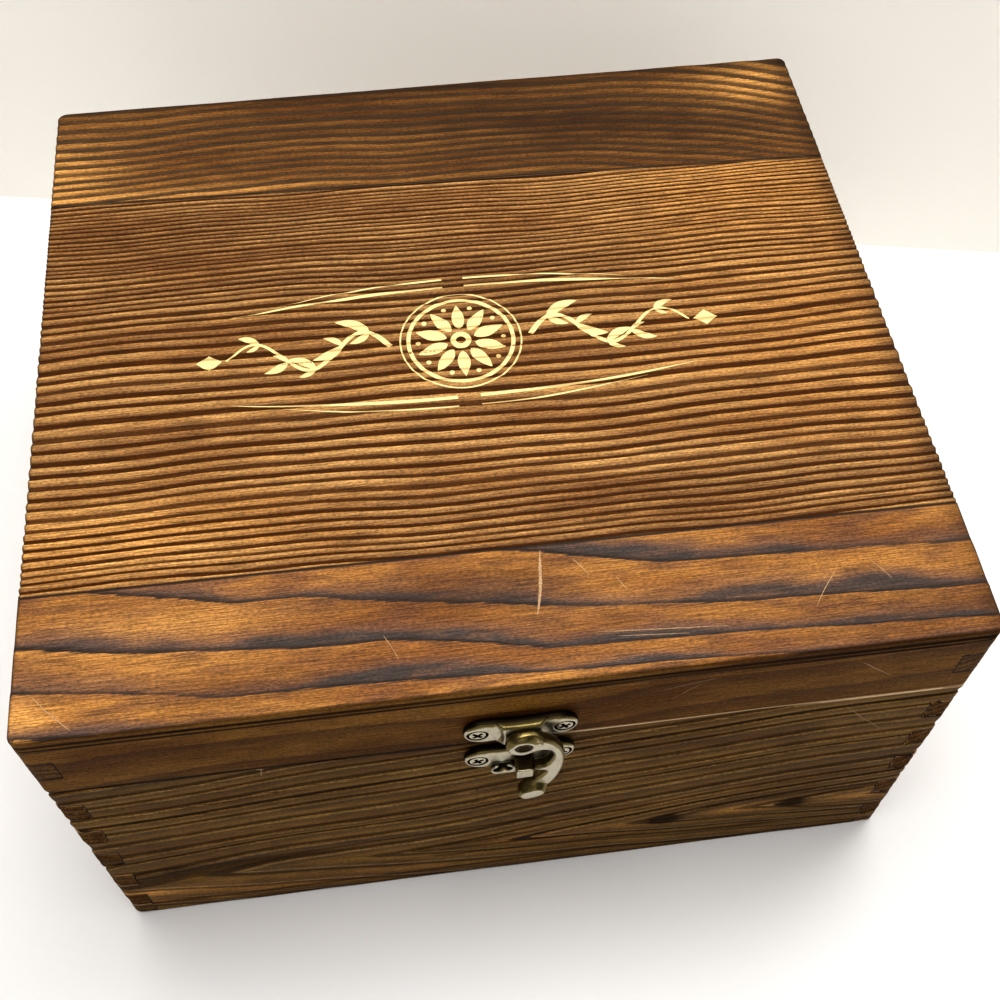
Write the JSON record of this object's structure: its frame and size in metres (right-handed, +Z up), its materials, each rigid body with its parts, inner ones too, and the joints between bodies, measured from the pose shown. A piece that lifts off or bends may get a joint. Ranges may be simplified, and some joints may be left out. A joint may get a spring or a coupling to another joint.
{
  "type": "wooden gift box",
  "caption": "Finger-jointed torched pine box with a hinged lid, an edge-glued lid panel and a swing-hook latch.",
  "frame": {"origin": "centre of the underside, where the box stands", "axes": "+Z up, +X to the right as seen from the latch, and -Y out of the front face with the latch"},
  "size_m": [0.23, 0.2231, 0.1275],
  "materials": {
    "torched_pine": "torched, wire-brushed and oiled pine",
    "antique_bronze": "antique bronze with worn, silvery flats",
    "screw_metal": "antique bronze cross-head screws, worn on their faces"
  },
  "bodies": {
    "base": {"base_front_board": "torched_pine", "base_back_board": "torched_pine", "base_left_board": "torched_pine", "base_right_board": "torched_pine", "bottom_panel": "torched_pine", "keeper_plate": "antique_bronze", "keeper_plate_screws": "screw_metal", "left_hinge_tray_leaf": "antique_bronze", "left_hinge_pin": "antique_bronze", "left_hinge_tray_screws": "screw_metal", "right_hinge_tray_leaf": "antique_bronze", "right_hinge_pin": "antique_bronze", "right_hinge_tray_screws": "screw_metal"},
    "lid": {"lid_front_board": "torched_pine", "lid_back_board": "torched_pine", "lid_left_board": "torched_pine", "lid_right_board": "torched_pine", "lid_top_strip_front": "torched_pine", "lid_top_strip_middle": "torched_pine", "lid_top_strip_back": "torched_pine", "latch_plate": "antique_bronze", "latch_rivet": "antique_bronze", "latch_plate_screws": "screw_metal", "left_hinge_lid_leaf": "antique_bronze", "left_hinge_lid_screws": "screw_metal", "right_hinge_lid_leaf": "antique_bronze", "right_hinge_lid_screws": "screw_metal"},
    "hook": {"latch_hook": "antique_bronze"}
  },
  "joints": [
    {"name": "lid_hinge", "type": "hinge", "parent": "base", "child": "lid", "pos_m": [0, 0.1072, 0.0982], "axis": [-1, 0, 0], "range_deg": [0, 95]},
    {"name": "hook_pivot", "type": "hinge", "parent": "lid", "child": "hook", "pos_m": [0, -0.105, 0.1076], "axis": [0, -1, 0], "range_deg": [0, 300]}
  ]
}
